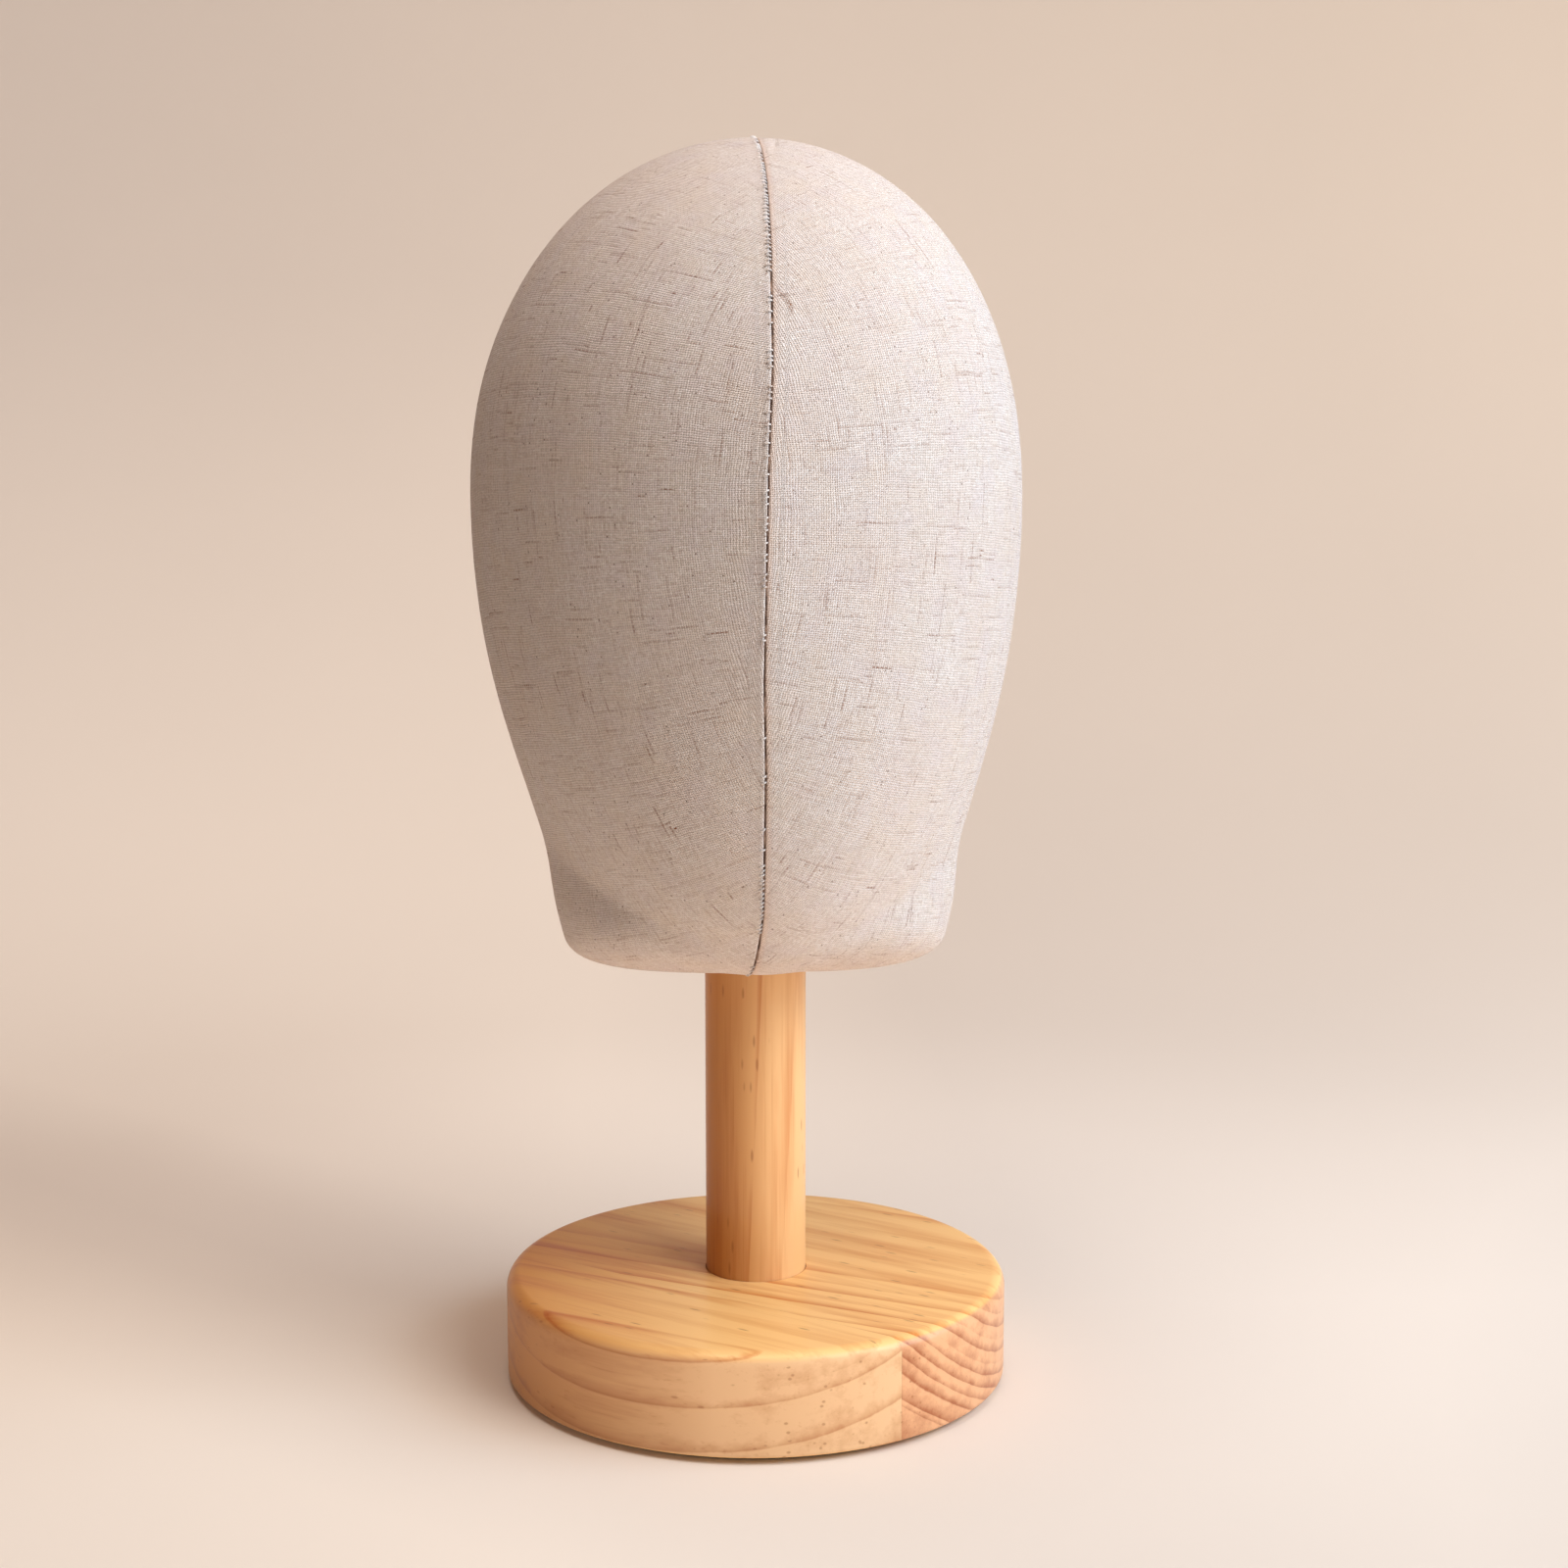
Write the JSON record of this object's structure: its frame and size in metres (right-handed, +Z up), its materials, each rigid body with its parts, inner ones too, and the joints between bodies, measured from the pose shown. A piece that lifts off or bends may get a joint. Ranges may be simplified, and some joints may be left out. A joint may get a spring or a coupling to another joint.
{
  "type": "mannequin head",
  "caption": "Featureless linen-covered display head that turns and lifts off on a round wooden post with a round wooden base.",
  "frame": {"origin": "centre of the felt's underside, on the axis of the post", "axes": "+Z up along the post, -Y the way the front of the head faces, +X to the right seen from the front"},
  "size_m": [0.16, 0.194, 0.3648],
  "materials": {
    "linen": "plain-weave slub linen, matte",
    "seam_thread": "hand-sewn thread",
    "pine_base": "edge-glued pine, satin varnish",
    "pine_post": "turned pine, satin varnish",
    "felt": "pressed wool felt",
    "nylon": "turned nylon",
    "plywood": "birch plywood, sawn",
    "shell": "moulded glass-fibre laminate",
    "tube": "extruded rigid plastic tube",
    "steel": "zinc-plated steel"
  },
  "bodies": {
    "stand": {"base_board_front": "pine_base", "base_board_rear": "pine_base", "base_felt": "felt", "post": "pine_post", "post_screw": "steel", "post_screw_washer": "steel"},
    "turntable": {"turning_disc": "nylon"},
    "head": {"socket_tube": "tube", "socket_end": "plywood", "neck_plate": "plywood", "upper_plate": "plywood", "shell_left": "shell", "shell_right": "shell", "joint_strip": "shell", "cover_left": "linen", "cover_right": "linen", "seam_thread": "seam_thread", "plate_screw_1": "steel", "plate_screw_2": "steel", "plate_screw_3": "steel", "plate_screw_4": "steel", "plate_screw_5": "steel", "plate_screw_6": "steel", "plate_screw_7": "steel", "plate_screw_8": "steel", "hem_staple_1": "steel", "hem_staple_2": "steel", "hem_staple_3": "steel", "hem_staple_4": "steel", "hem_staple_5": "steel", "hem_staple_6": "steel"}
  },
  "joints": [
    {"name": "head_swivel", "type": "hinge", "parent": "stand", "child": "turntable", "pos_m": [0, 0, 0.2302], "axis": [0, 0, 1], "continuous": true},
    {"name": "head_lift", "type": "slide", "parent": "turntable", "child": "head", "axis": [0, 0, 1], "range_m": [0, 0.12]}
  ]
}
